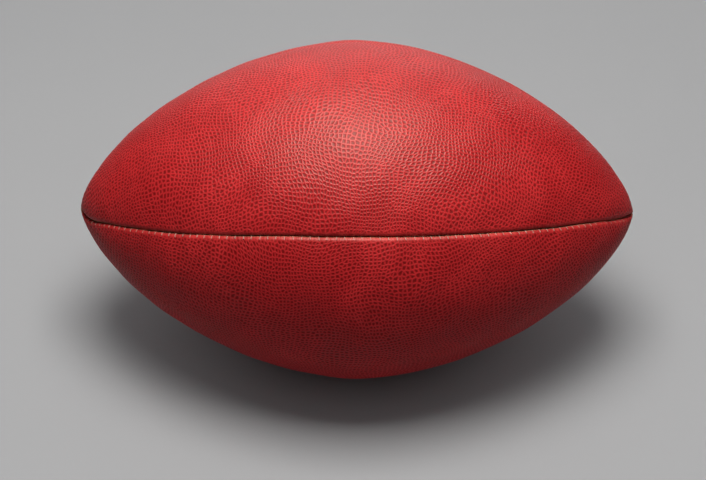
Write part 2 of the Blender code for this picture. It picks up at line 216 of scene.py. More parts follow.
def lace_frame(x, offset, height):
    """Matrix at a height over the leather near the lace seam: X along, Y across, Z outwards."""
    step = 0.001
    reach = HALF_LENGTH - PILLOW_DIP
    origin = Vector(surface(LACE_SEAM, x / reach, offset, 0.0))
    along = (Vector(surface(LACE_SEAM, (x + step) / reach, offset, 0.0)) - origin).normalized()
    radial = Vector((0.0, origin.y, origin.z)).normalized()
    across = radial.cross(along).normalized()
    outward = along.cross(across)
    matrix = Matrix((along, across, outward)).transposed().to_4x4()
    matrix.translation = origin + outward * height
    return matrix


def valve_frame(depth):
    """Matrix on the valve's axis at a depth below the leather, Z outwards."""
    angle = float(seam_angle(LACE_SEAM, np.float64(0.0))) - VALVE_OFFSET / RADIUS
    outward = Vector((0.0, -math.cos(angle), math.sin(angle)))
    matrix = outward.to_track_quat("Z", "Y").to_matrix().to_4x4()
    matrix.translation = outward * (RADIUS - depth)
    return matrix


# ---- mesh helpers
def mesh_object(name, verts, faces, turn_out=True):
    """New object of a mesh; turn_out makes its faces look outwards."""
    mesh = bpy.data.meshes.new(name)
    mesh.from_pydata(verts, [], faces)
    if turn_out:
        bm = bmesh.new()
        bm.from_mesh(mesh)
        bmesh.ops.recalc_face_normals(bm, faces=bm.faces)
        bm.to_mesh(mesh)
        bm.free()
    obj = bpy.data.objects.new(name, mesh)
    bpy.context.scene.collection.objects.link(obj)
    return obj


def bake_modifiers(obj):
    """Apply an object's modifiers to its mesh."""
    graph = bpy.context.evaluated_depsgraph_get()
    mesh = bpy.data.meshes.new_from_object(obj.evaluated_get(graph), depsgraph=graph)
    mesh.name = obj.name
    obj.modifiers.clear()
    obj.data = mesh


def cut_away(obj, cutters):
    """Cut the holes into a piece's mesh."""
    for cutter in cutters:
        cut = obj.modifiers.new("cut", "BOOLEAN")
        cut.operation = "DIFFERENCE"
        cut.solver = "MANIFOLD"
        cut.object = cutter
    bake_modifiers(obj)


def smooth(obj, degrees):
    obj.data.shade_smooth()
    obj.data.set_sharp_from_angle(angle=math.radians(degrees))


def finish_piece(obj, material, slot, *nodes, degrees=45.0):
    """Shade a piece, give it its material, hang it on the root body and hide the CAD nodes it stands in
    for.
    """
    smooth(obj, degrees)
    obj.data.materials.clear()
    obj.data.materials.append(material)
    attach(obj, "root")
    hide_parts(*nodes)


def vertex_array(mesh):
    values = np.empty(len(mesh.vertices) * 3)
    mesh.vertices.foreach_get("co", values)
    return values.reshape(-1, 3)


def normal_array(mesh):
    values = np.empty(len(mesh.vertices) * 3)
    mesh.vertex_normals.foreach_get("vector", values)
    return values.reshape(-1, 3)


def set_vertices(mesh, points):
    mesh.vertices.foreach_set("co", np.asarray(points, float).reshape(-1))
    mesh.update()


def add_attribute(mesh, name, values):
    values = np.asarray(values, float)
    kind, field = ("FLOAT_VECTOR", "vector") if values.ndim == 2 else ("FLOAT", "value")
    attribute = mesh.attributes.new(name, kind, "POINT")
    attribute.data.foreach_set(field, values.reshape(-1))


def zip_columns(first, second):
    """Faces between two rows of vertex numbers that may differ in count."""
    if len(first) == len(second):
        return [(first[i], second[i], second[i + 1], first[i + 1]) for i in range(len(first) - 1)]
    faces, i, j = [], 0, 0
    last_i, last_j = len(first) - 1, len(second) - 1
    while i < last_i or j < last_j:
        if j == last_j or (i < last_i and (i + 1) * last_j <= (j + 1) * last_i):
            faces.append((first[i], second[j], first[i + 1]))
            i += 1
        else:
            faces.append((first[i], second[j], second[j + 1]))
            j += 1
    return faces


def smoothstep(low, high, value):
    share = np.clip((value - low) / (high - low), 0.0, 1.0)
    return share * share * (3.0 - 2.0 * share)


# ---- material helpers
class Tree:
    """Short calls for making nodes in a shader or geometry tree."""

    def __init__(self, tree):
        self.tree = tree

    def node(self, kind, **settings):
        node = self.tree.nodes.new(kind)
        for key, value in settings.items():
            setattr(node, key, value)
        return node

    def set(self, socket, value):
        if isinstance(value, bpy.types.NodeSocket):
            self.tree.links.new(value, socket)
        elif value is not None:
            socket.default_value = value

    def math(self, operation, a, b=None, clamp=False):
        node = self.node("ShaderNodeMath", operation=operation, use_clamp=clamp)
        for socket, value in zip(node.inputs, (a, b)):
            self.set(socket, value)
        return node.outputs[0]

    def times(self, a, b):
        return self.math("MULTIPLY", a, b)

    def scale(self, vector, factor):
        node = self.node("ShaderNodeVectorMath", operation="SCALE")
        self.set(node.inputs[0], vector)
        self.set(node.inputs["Scale"], factor)
        return node.outputs[0]

    def remap(self, value, low, high, to_low=0.0, to_high=1.0, mode="SMOOTHSTEP"):
        node = self.node("ShaderNodeMapRange", interpolation_type=mode)
        for socket, given in zip(node.inputs, (value, low, high, to_low, to_high)):
            self.set(socket, given)
        return node.outputs[0]

    def attribute(self, name, output="Fac"):
        return self.node("ShaderNodeAttribute", attribute_name=name).outputs[output]

    def place(self):
        return self.node("ShaderNodeTexCoord").outputs["Object"]

    def noise(self, vector, scale, detail=2.0, roughness=0.5, distortion=0.0):
        node = self.node("ShaderNodeTexNoise")
        names = ("Vector", "Scale", "Detail", "Roughness", "Distortion")
        for name, value in zip(names, (vector, scale, detail, roughness, distortion)):
            self.set(node.inputs[name], value)
        return node.outputs["Fac"]

    def mix(self, factor, a, b, blend="MIX"):
        node = self.node("ShaderNodeMix", data_type="RGBA", blend_type=blend)
        self.set(node.inputs["Factor"], factor)
        self.set(node.inputs["A"], a)
        self.set(node.inputs["B"], b)
        return node.outputs["Result"]

    def bump(self, height, distance, normal=None):
        node = self.node("ShaderNodeBump")
        node.inputs["Strength"].default_value = 1.0
        node.inputs["Distance"].default_value = distance
        self.set(node.inputs["Height"], height)
        self.set(node.inputs["Normal"], normal)
        return node.outputs["Normal"]


def rgb(red, green, blue):
    return (red, green, blue, 1.0)


def new_material(name):
    """A new material, its tree and its shader."""
    material = bpy.data.materials.new(name)
    material.use_nodes = True
    return material, Tree(material.node_tree), material.node_tree.nodes["Principled BSDF"]


def grain_height(tree, grain):
    """Height of the embossed grain: a raised net, 1 on its lines, around cells that sink to 0."""
    cells = tree.node("ShaderNodeTexVoronoi", voronoi_dimensions="2D", feature="DISTANCE_TO_EDGE")
    tree.set(cells.inputs["Vector"], grain)
    cells.inputs["Scale"].default_value = 1.0
    cells.inputs["Randomness"].default_value = GRAIN_JITTER
    return tree.remap(cells.outputs["Distance"], 0.0, 0.37, 1.0, 0.0)


def leather_material():
    material, tree, shader = new_material("pebbled_leather")
    place = tree.place()
    grain = tree.attribute("grain", "Vector")
    fade = tree.attribute("fade")
    skin = tree.attribute("skin")
    rim = tree.attribute("rim")
    tucks = tree.noise(tree.attribute("flat", "Vector"), 820.0, 2.0, 0.55)
    height = grain_height(tree, grain)

    blotch = tree.remap(tree.noise(place, 22.0, 4.0, 0.6, 0.9), 0.36, 0.64)
    cloud = tree.remap(tree.noise(place, 60.0, 4.0, 0.6, 1.4), 0.42, 0.62)
    veins = tree.node("ShaderNodeTexNoise", noise_type="RIDGED_MULTIFRACTAL")
    tree.set(veins.inputs["Vector"], place)
    veins.inputs["Scale"].default_value = 24.0
    veins.inputs["Detail"].default_value = 3.0
    veins.inputs["Distortion"].default_value = 0.8
    vein = tree.remap(veins.outputs["Fac"], 0.66, 1.00)
    speck = tree.noise(place, 1500.0, 3.0, 0.6)
    scuff = tree.remap(tree.noise(place, 190.0, 5.0, 0.7, 2.0), 0.60, 0.78)

    colour = tree.mix(blotch, rgb(0.255, 0.0020, 0.0050), rgb(0.460, 0.0120, 0.0160))
    colour = tree.mix(tree.times(cloud, 0.60), colour, rgb(0.220, 0.0015, 0.0035))
    colour = tree.mix(tree.times(vein, 0.85), colour, rgb(0.560, 0.0340, 0.0330))
    bare = tree.times(rim, tree.remap(tucks, 0.30, 0.70, 0.10, 0.60))
    colour = tree.mix(bare, colour, rgb(0.560, 0.0460, 0.0430))
    # Painted shade: the sunk cells of the grain are darkened where shade would fall in them.
    painted_pit_shade = tree.times(tree.math("SUBTRACT", 1.0, height), fade)
    colour = tree.mix(tree.times(painted_pit_shade, 0.90), colour, rgb(0.165, 0.0004, 0.0012))
    # Partly painted highlight, partly wear: the raised net of the grain is lightened as if it caught the
    # light, and more where it is scuffed.
    raised = tree.times(height, fade)
    ridge_sheen_and_scuff = tree.math("ADD", 0.50, tree.times(scuff, 0.22))
    ridge_sheen_and_wear = tree.times(raised, ridge_sheen_and_scuff)
    colour = tree.mix(ridge_sheen_and_wear, colour, rgb(0.660, 0.0280, 0.0330))
    colour = tree.mix(tree.times(speck, 0.16), colour, rgb(0.170, 0.0025, 0.0045))
    suede = tree.mix(tree.noise(place, 900.0, 4.0, 0.7), rgb(0.22, 0.10, 0.055), rgb(0.40, 0.21, 0.12))
    tree.set(shader.inputs["Base Color"], tree.mix(skin, suede, colour))

    rough = tree.remap(height, 0.0, 1.0, 0.54, 0.47, "LINEAR")
    rough = tree.math("ADD", rough, tree.times(tree.math("SUBTRACT", blotch, 0.5), 0.07))
    rough = tree.math("ADD", rough, tree.times(tree.math("SUBTRACT", speck, 0.5), 0.20))
    rough = tree.math("ADD", rough, tree.times(scuff, 0.08))
    matte = tree.times(tree.math("SUBTRACT", 1.0, skin), 0.45)
    tree.set(shader.inputs["Roughness"], tree.math("ADD", rough, matte, clamp=True))
    shader.inputs["Specular IOR Level"].default_value = 0.10
    shader.inputs["Specular Tint"].default_value = rgb(1.0, 0.90, 0.84)

    relief = tree.times(height, fade)
    normal = tree.bump(relief, GRAIN_BUMP)
    pores = tree.noise(place, 2600.0, 4.0, 0.65)
    creases = tree.noise(place, 620.0, 4.0, 0.6, 1.5)
    fine = tree.math("ADD", tree.times(pores, 0.45), creases)
    normal = tree.bump(fine, 0.000045, normal)
    tree.set(shader.inputs["Normal"], tree.bump(tree.times(tucks, rim), 0.00030, normal))
    return material


def lace_material():
    material, tree, shader = new_material("lace_vinyl")
    place = tree.place()
    grime = tree.remap(tree.noise(place, 110.0, 4.0, 0.6, 0.8), 0.42, 0.74)
    fibre = tree.noise(place, 1900.0, 4.0, 0.6)
    cells = tree.node("ShaderNodeTexVoronoi", feature="SMOOTH_F1")
    tree.set(cells.inputs["Vector"], place)
    cells.inputs["Scale"].default_value = 1150.0
    colour = tree.mix(grime, rgb(0.80, 0.775, 0.71), rgb(0.60, 0.555, 0.47))
    colour = tree.mix(tree.times(fibre, 0.25), colour, rgb(0.52, 0.48, 0.41))
    tree.set(shader.inputs["Base Color"], colour)
    tree.set(shader.inputs["Roughness"], tree.remap(fibre, 0.2, 0.8, 0.40, 0.62, "LINEAR"))
    dents = tree.bump(cells.outputs["Distance"], 0.00012)
    tree.set(shader.inputs["Normal"], tree.bump(fibre, 0.00008, dents))
    return material


def rubber_material(name, dark, light, roughness):
    material, tree, shader = new_material(name)
    place = tree.place()
    dust = tree.remap(tree.noise(place, 140.0, 5.0, 0.65, 0.6), 0.40, 0.75)
    grit = tree.noise(place, 2200.0, 3.0, 0.6)
    colour = tree.mix(dust, dark, light)
    colour = tree.mix(tree.times(grit, 0.3), colour, dark)
    tree.set(shader.inputs["Base Color"], colour)
    rough = tree.remap(grit, 0.2, 0.8, roughness - 0.1, roughness + 0.1, "LINEAR")
    tree.set(shader.inputs["Roughness"], rough)
    tree.set(shader.inputs["Normal"], tree.bump(tree.math("ADD", grit, dust), 0.00004))
    return material


def cloth_material(name, pale, deep, pitch):
    """Plain weave on the piece's flat coordinates."""
    material, tree, shader = new_material(name)
    place = tree.place()
    split = tree.node("ShaderNodeSeparateXYZ")
    tree.set(split.inputs[0], tree.attribute("flat", "Vector"))
    warp = tree.math("SINE", tree.times(split.outputs["X"], math.pi / pitch))
    weft = tree.math("SINE", tree.times(split.outputs["Y"], math.pi / pitch))
    over = tree.times(warp, weft)
    yarns = tree.math("ABSOLUTE", over)
    lift = tree.math("ADD", tree.times(over, 0.35), yarns)
    fluff = tree.noise(place, 2400.0, 4.0, 0.7)
    stain = tree.remap(tree.noise(place, 60.0, 4.0, 0.6, 0.7), 0.40, 0.72)
    colour = tree.mix(tree.times(stain, 0.5), pale, deep)
    # Painted shade: the colour darkens in the gaps between the yarns, where the weave sinks.
    colour = tree.mix(tree.math("SUBTRACT", 0.6, tree.times(yarns, 0.6)), colour, deep)
    colour = tree.mix(tree.times(fluff, 0.3), colour, deep)
    tree.set(shader.inputs["Base Color"], colour)
    tree.set(shader.inputs["Roughness"], tree.remap(fluff, 0.2, 0.8, 0.78, 0.95, "LINEAR"))
    weave = tree.bump(lift, 0.00014)
    tree.set(shader.inputs["Normal"], tree.bump(fluff, 0.00008, weave))
    return material


def thread_material():
    material, tree, shader = new_material("waxed_thread")
    place = tree.place()
    wax = tree.noise(place, 420.0, 4.0, 0.6)
    ply = tree.node("ShaderNodeTexWave", bands_direction="DIAGONAL")
    tree.set(ply.inputs["Vector"], place)
    ply.inputs["Scale"].default_value = 900.0
    ply.inputs["Distortion"].default_value = 2.0
    colour = tree.mix(wax, rgb(0.52, 0.23, 0.18), rgb(0.34, 0.11, 0.08))
    # Painted shade: the ply bands darken the colour in the grooves between the plies.
    tree.set(shader.inputs["Base Color"], tree.mix(0.25, colour, ply.outputs["Color"], "MULTIPLY"))
    tree.set(shader.inputs["Roughness"], tree.remap(wax, 0.2, 0.8, 0.5, 0.75, "LINEAR"))
    tree.set(shader.inputs["Normal"], tree.bump(ply.outputs["Fac"], 0.00006))
    return material


def floor_material():
    material, tree, shader = new_material("studio_floor")
    tone = tree.noise(tree.place(), 3.0, 4.0, 0.6)
    colour = tree.mix(tone, rgb(0.252, 0.263, 0.280), rgb(0.275, 0.286, 0.303))
    tree.set(shader.inputs["Base Color"], colour)
    shader.inputs["Roughness"].default_value = 0.9
    shader.inputs["Specular IOR Level"].default_value = 0.0
    return material


# ---- the grain's relief in the mesh
def grain_modifier_tree():
    group = bpy.data.node_groups.new("grain_relief", "GeometryNodeTree")
    group.interface.new_socket("Geometry", in_out="INPUT", socket_type="NodeSocketGeometry")
    group.interface.new_socket("Geometry", in_out="OUTPUT", socket_type="NodeSocketGeometry")
    tree = Tree(group)
    entry = tree.node("NodeGroupInput")
    leave = tree.node("NodeGroupOutput")
    read = []
    for name, kind in (("grain", "FLOAT_VECTOR"), ("fade", "FLOAT")):
        named = tree.node("GeometryNodeInputNamedAttribute", data_type=kind)
        named.inputs["Name"].default_value = name
        read.append(named.outputs["Attribute"])
    lift = tree.times(tree.math("SUBTRACT", grain_height(tree, read[0]), 0.4), read[1])
    lift = tree.times(lift, GRAIN_RELIEF)
    normal = tree.node("GeometryNodeInputNormal").outputs["Normal"]
    move = tree.node("GeometryNodeSetPosition")
    tree.set(move.inputs["Geometry"], entry.outputs["Geometry"])
    tree.set(move.inputs["Offset"], tree.scale(normal, lift))
    tree.set(leave.inputs["Geometry"], move.outputs["Geometry"])
    return group


def ring_place(points):
    """Stations and angles of points on the ball."""
    t = np.clip(points[:, 0] / (HALF_LENGTH - PILLOW_DIP / 2.0), -TIP_STATION, TIP_STATION)
    return t, np.arctan2(points[:, 2], -points[:, 1])


def turn_from(middle, angle):
    """Angle from a panel's middle, between -180 and 180 degrees."""
    return (angle - middle + math.pi) % math.tau - math.pi


def flat_place(panel, points):
    """Coordinates of points on a panel: along the ball, across, and distance to its edge."""
    t, angle = ring_place(points)
    middle = (seam_angle(panel, t) + seam_angle(panel + 1, t)) / 2.0
    across = turn_from(middle, angle) * RADIUS * fullness(t)
    along = arc_at(t)
    edge = panel_width(panel, t) / 2.0 - np.abs(across)
    return along, across, edge


def unrolled(panel, points):
    """The panel laid flat with as little stretch as can be: each ring of it unrolls as a cone's does."""
    t, angle = ring_place(points)
    middle = FIRST_SEAM_ANGLE + SEAM_SPACING * (panel + 0.5)
    turn = turn_from(middle, angle)
    radius = RADIUS * fullness(t)
    bend = turn * np.interp(t, TABLE_T, TABLE_SLOPE)
    across = radius * turn * np.sinc(bend / math.pi)
    rise = radius * turn * bend / 2.0 * np.sinc(bend / math.tau) ** 2
    return arc_at(t) - rise, across


def grain_place(panel, along, across):
    """Coordinates of the embossed pattern: turned, and bent slowly as leather is."""
    phases = np.random.default_rng(40 + panel).uniform(0.0, math.tau, 4)
    bent_along = (along + 0.0023 * np.sin(math.tau * (across / 0.066 + along / 0.120) + phases[0])
                  + 0.0008 * np.sin(math.tau * (across / 0.029 - along / 0.050) + phases[1]))
    bent_across = (across + 0.0026 * np.sin(math.tau * (along / 0.088 - across / 0.140) + phases[2])
                   + 0.0008 * np.sin(math.tau * (along / 0.034 + across / 0.055) + phases[3]))
    turn = math.radians(GRAIN_TURN[panel])
    u = (math.cos(turn) * bent_along - math.sin(turn) * bent_across) / GRAIN_PITCH
    v = (math.sin(turn) * bent_along + math.cos(turn) * bent_across) / GRAIN_PITCH
    return np.stack([u, v, np.zeros_like(u)], axis=-1)


# ---- leather panels
def panel_mesh(panel):
    """One leather panel with rolled edges, turned-in flanges and an even outer mesh."""
    length = TABLE_ARC[-1] * 2.0
    rows = int(length / MESH_SPACING)
    ts = station_at(np.linspace(TABLE_ARC[0], TABLE_ARC[-1], rows + 1))
    roll_angles = np.linspace(0.0, math.pi / 2.0, 6)
    inner_count = 12
    verts, faces = [], []
    count = 0
    previous = None
    for t in ts:
        width = float(panel_width(panel, t))
        start = CLEARANCE / 2.0
        roll = min(LIP_WIDTH, ROLL_SHARE * width)
        drop = min(LIP_DEPTH, ROLL_SHARE * width)
        flange = min(FLANGE_WIDTH, FLANGE_SHARE * width)
        edges = []
        for seam in (panel, panel + 1):
            deep = FLANGE_DEPTH
            if seam % 4 == LACE_SEAM:
                zone = float(smoothstep(LACE_ZONE - 0.001, LACE_ZONE + 0.001, abs(t) * HALF_LENGTH))
                deep = LACE_EDGE_DEPTH + (FLANGE_DEPTH - LACE_EDGE_DEPTH) * zone
            under = [(start + flange, LEATHER), (start + flange, deep)]
            outside = [(start, deep), (start, (deep + drop) / 2.0)]
            outside += [(start + roll * (1.0 - math.cos(a)), drop * (1.0 - math.sin(a)))
                        for a in roll_angles[:-1]]
            edges.append(under + outside)
        columns = max(8, int(round((width - 2.0 * (start + roll)) / MESH_SPACING / 8.0)) * 8)
        across = np.linspace(start + roll, width - start - roll, columns + 1)
        middle = [(s, 0.0) for s in across]
        left = edges[0]
        right = [(width - s, d) for s, d in reversed(edges[1])]
        inner = np.linspace(width - start - flange, start + flange, inner_count + 1)[1:-1]
        inner = [(s, LEATHER) for s in inner]
        loop = np.array(left + middle + right + inner)
        verts.append(surface(panel, t, loop[:, 0], loop[:, 1]))
        numbers = list(range(count, count + len(loop)))
        count += len(loop)
        a, b = len(left), len(left) + len(middle)
        c = b + len(right)
        parts = (numbers[:a + 1], numbers[a:b], numbers[b - 1:c] + numbers[c:] + numbers[:1])
        if previous is None:
            first_parts = parts
        else:
            for one, two in zip(previous, parts):
                faces += zip_columns(one, two)
        previous = parts
    for parts in (first_parts, previous):
        outside = parts[0][2:-1] + parts[1] + parts[2][1:-(inner_count + 2)]
        inside = [parts[0][2], parts[0][1], parts[0][0]] + parts[2][-2:-(inner_count + 1):-1]
        inside += parts[2][-(inner_count + 1):-(inner_count + 4):-1]
        faces += [face for face in zip_columns(outside, inside) if len(set(face)) == len(face)]
    return np.concatenate(verts), faces


def slot_cutter(name):
    """Rounded slots for the lace."""
    slots = [(x, side * HOLE_OFFSET, HOLE_LONG, HOLE_SHORT) for x in lace_bars() for side in (-1, 1)]
    slots += [(side * END_HOLE_X, 0.0, HOLE_SHORT, HOLE_LONG) for side in (-1, 1)]
    verts, faces = [], []
    sides = 24
    for x, offset, along, across in slots:
        place = lace_frame(x, offset, -HOLE_CENTRE_DEPTH)
        radius = min(along, across) / 2.0
        reach_x, reach_y = along / 2.0 - radius, across / 2.0 - radius
        first = len(verts)
        for z in (-HOLE_HEIGHT / 2.0, HOLE_HEIGHT / 2.0):
            for i in range(sides):
                angle = math.tau * (i + 0.5) / sides
                px = radius * math.cos(angle) + math.copysign(reach_x, math.cos(angle))
                py = radius * math.sin(angle) + math.copysign(reach_y, math.sin(angle))
                verts.append(place @ Vector((px, py, z)))
        lower, upper = range(first, first + sides), range(first + sides, first + 2 * sides)
        faces.append(tuple(lower))
        faces.append(tuple(upper))
        for i in range(sides):
            k = (i + 1) % sides
            faces.append((lower[i], lower[k], upper[k], upper[i]))
    return mesh_object(name, [tuple(v) for v in verts], faces)


def round_cutter(name, radius):
    place = valve_frame(0.005)
    sides = 64
    verts = []
    for z in (-0.015, 0.015):
        for i in range(sides):
            angle = math.tau * i / sides
            verts.append(tuple(place @ Vector((radius * math.cos(angle), radius * math.sin(angle), z))))
    faces = [tuple(range(sides)), tuple(range(sides, 2 * sides))]
    faces += [(i, (i + 1) % sides, sides + (i + 1) % sides, sides + i) for i in range(sides)]
    return mesh_object(name, verts, faces)


def hole_places():
    """Points of the leather's surface at the middles of the lace holes."""
    spots = [(x, side * HOLE_OFFSET) for x in lace_bars() for side in (-1, 1)]
    spots += [(side * END_HOLE_X, 0.0) for side in (-1, 1)]
    return np.array([tuple(lace_frame(x, offset, 0.0).to_translation()) for x, offset in spots])


def make_panel(panel, material, cutters, grain_tree):
    """One leather panel: its holes, the dips and puckers of its surface, and its embossed grain."""
    verts, faces = panel_mesh(panel)
    obj = mesh_object("leather_" + PANEL_NAMES[panel], verts, faces)
    if cutters:
        cut_away(obj, cutters)
    mesh = obj.data
    points = vertex_array(mesh)
    along, across, edge = flat_place(panel, points)
    outward = normal_array(mesh)
    t = np.clip(points[:, 0] / HALF_LENGTH, -0.999, 0.999)
    radial = np.stack([t * 0.9, points[:, 1] / RADIUS, points[:, 2] / RADIUS], axis=-1)
    facing = (outward * radial).sum(axis=1) / np.linalg.norm(radial, axis=1)
    skin = smoothstep(-0.05, 0.25, facing) * smoothstep(0.00005, 0.0006, edge)
    fade = smoothstep(0.0010, 0.0032, edge) * smoothstep(0.25, 0.6, facing)
    shift = np.zeros(len(points))
    if cutters:
        for hole in hole_places():
            away = np.linalg.norm(points - hole, axis=1)
            shift -= HOLE_DIP * np.exp(-(away / HOLE_DIP_RADIUS) ** 2)
        valve = np.array(valve_frame(0.0).to_translation())
        away = np.linalg.norm(points - valve, axis=1)
        shift -= VALVE_DIP * np.exp(-((away - VALVE_DIP_RADIUS) / VALVE_DIP_RADIUS) ** 2)
    phases = np.random.default_rng(7 + panel).uniform(0.0, math.tau, 2)
    shift += 0.00010 * np.sin(math.tau * (along / 0.047 + across / 0.061) + phases[0])
    shift += 0.00008 * np.sin(math.tau * (along / 0.029 - across / 0.037) + phases[1])
    pucker = PUCKER_HEIGHT * np.exp(-edge / PUCKER_FADE) * np.sin(math.tau * along / STITCH_PITCH)
    shift += pucker * smoothstep(0.0002, 0.0012, edge)
    pull = smoothstep(-0.1, 0.1, facing)[:, None]
    set_vertices(mesh, points + outward * (shift[:, None] * pull))
    add_attribute(mesh, "grain", grain_place(panel, *unrolled(panel, points)))
    add_attribute(mesh, "fade", fade)
    add_attribute(mesh, "skin", skin)
    add_attribute(mesh, "rim", smoothstep(0.0036, 0.0010, edge))
    add_attribute(mesh, "flat", np.stack([along, across * 0.16, np.zeros_like(along)], axis=-1))
    relief = obj.modifiers.new("grain", "NODES")
    relief.node_group = grain_tree
    bake_modifiers(obj)
    finish_piece(obj, material, "leather", "panel_" + PANEL_NAMES[panel], degrees=60.0)


# ---- swept and turned pieces
def sweep(points, wides, sections):
    """Tube through points; a section is a list of (across, thick) pairs along its wide direction."""
    points = np.asarray(points)
    travel = np.gradient(points, axis=0)
    travel /= np.linalg.norm(travel, axis=1)[:, None]
    wides = np.asarray(wides)
    wides = wides - travel * (wides * travel).sum(axis=1)[:, None]
    wides /= np.linalg.norm(wides, axis=1)[:, None]
    thicks = np.cross(travel, wides)
    sections = np.asarray(sections)
    rings = points[:, None] + wides[:, None] * sections[:, :, :1] + thicks[:, None] * sections[:, :, 1:]
    count, sides = rings.shape[:2]
    faces = [tuple(range(sides)), tuple(range((count - 1) * sides, count * sides))]
    for i in range(count - 1):
        for j in range(sides):
            k = (j + 1) % sides
            faces.append((i * sides + j, i * sides + k, (i + 1) * sides + k, (i + 1) * sides + j))
    return rings.reshape(-1, 3), faces


def lace_bars():
    """Length positions of the lace's cross bars, from +X to -X."""
    return [LACE_PITCH * ((LACE_BARS - 1) / 2.0 - bar) for bar in range(LACE_BARS)]


def lace_under(x_from, s_from, x_to, s_to):
    """Route points of the stretch inside the ball between two holes."""
    turn = math.atan2(x_to - x_from, s_from - s_to) / (math.pi / 2.0)
    return [(x_from + (x_to - x_from) * share, s_from + (s_to - s_from) * share, -depth, turn)
            for share, depth in UNDER_SHARES]


def lace_route():
    """The lace's route: (x, offset, height, turn), turn 1 when its width is across the seam."""
    bars = lace_bars()
    reach = END_HOLE_X - RUN_START[-1][0]
    start = [(-END_HOLE_X + inward, 0.0, height, 1.0) for inward, height in RUN_START]
    middle = [(reach * (2.0 * i / RUN_STEPS - 1.0), 0.0, RUN_HEIGHT, 1.0) for i in range(1, RUN_STEPS)]
    end = [(-x, s, height, turn) for x, s, height, turn in reversed(start[2:])]
    route = start + middle + end + lace_under(END_HOLE_X, 0.0, bars[0], -HOLE_OFFSET)
    for index, x in enumerate(bars):
        up = [(x, inward - HOLE_OFFSET, height, 0.0) for inward, height in BAR_START]
        down = [(x, -s, height, turn) for _, s, height, turn in reversed(up)]
        route += up + [(x, 0.0, BAR_HEIGHT, 0.0)] + down
        if index + 1 < len(bars):
            route += lace_under(x, HOLE_OFFSET, bars[index + 1], -HOLE_OFFSET)
    return route + lace_under(bars[-1], HOLE_OFFSET, bars[-1] + LACE_PITCH / 2.0, 0.0)[:3]


def through(points, steps):
    """Centripetal curve through points, with a number of steps between each two."""
    points = np.asarray(points, float)
    padded = np.concatenate([[2 * points[0] - points[1]], points, [2 * points[-1] - points[-2]]])
    out = []
    for a, b, c, d in zip(padded, padded[1:], padded[2:], padded[3:]):
        knots = [0.0]
        for p, q in ((a, b), (b, c), (c, d)):
            knots.append(knots[-1] + max(float(np.linalg.norm((q - p)[:3])), 1e-7) ** 0.5)
        t0, t1, t2, t3 = knots
        for t in np.linspace(t1, t2, steps, endpoint=False):
            a1 = a * (t1 - t) / (t1 - t0) + b * (t - t0) / (t1 - t0)
            a2 = b * (t2 - t) / (t2 - t1) + c * (t - t1) / (t2 - t1)
            a3 = c * (t3 - t) / (t3 - t2) + d * (t - t2) / (t3 - t2)
            b1 = a1 * (t2 - t) / (t2 - t0) + a2 * (t - t0) / (t2 - t0)
            b2 = a2 * (t3 - t) / (t3 - t1) + a3 * (t - t1) / (t3 - t1)
            out.append(b1 * (t2 - t) / (t2 - t1) + b2 * (t - t1) / (t2 - t1))
    return np.array(out + [points[-1]])


def make_lace(material):
    """Flat band along the lace's route, pinched where it passes a hole."""
    route = lace_route()
    frames = [lace_frame(x, s, height) for x, s, height, _ in route]
    rows = []
    previous = None
    for index, place in enumerate(frames):
        ahead = frames[min(index + 1, len(frames) - 1)].to_translation()
        behind = frames[max(index - 1, 0)].to_translation()
        travel = (ahead - behind).normalized()
        angle = route[index][3] * math.pi / 2.0
        flat = place.to_3x3() @ Vector((math.cos(angle), math.sin(angle), 0.0))
        wide = (flat - travel * flat.dot(travel)).normalized()
        if previous is not None and wide.dot(previous) < 0.0:
            wide = -wide
        previous = wide
        rows.append([*place.to_translation(), *wide])
    rows = through(rows, 6)
    sides = 20
    angles = math.tau * (np.arange(sides) + 0.5) / sides
    across, thick = np.cos(angles), np.sin(angles)
    shape = np.stack([np.sign(across) * np.abs(across) ** LACE_SQUARENESS * LACE_WIDTH / 2.0,
                      np.sign(thick) * np.abs(thick) ** LACE_SQUARENESS * LACE_THICKNESS / 2.0], axis=-1)
    crown = 1.0 + LACE_CROWN * (1.0 - (shape[:, :1] / (LACE_WIDTH / 2.0)) ** 2)
    shape = shape * np.concatenate([np.ones_like(crown), crown], axis=1)
    holes = hole_places()
    sections = []
    for row in rows:
        near = float(np.min(np.linalg.norm(holes - row[:3], axis=1)))
        pinch = 1.0 - LACE_PINCH * math.exp(-(near / 0.0022) ** 2)
        sections.append(shape * (pinch, 1.0))
    verts, faces = sweep(rows[:, :3], rows[:, 3:], sections)
    obj = mesh_object("lace_band", verts, faces)
    finish_piece(obj, material, "lace", "lace", degrees=70.0)


def lip_depth(offset):
    """Depth of the rolled edge of a panel at a distance from the middle of its seam."""
    share = 1.0 - (offset - CLEARANCE / 2.0) / LIP_WIDTH
    return LIP_DEPTH * (1.0 - math.sqrt(1.0 - share * share))


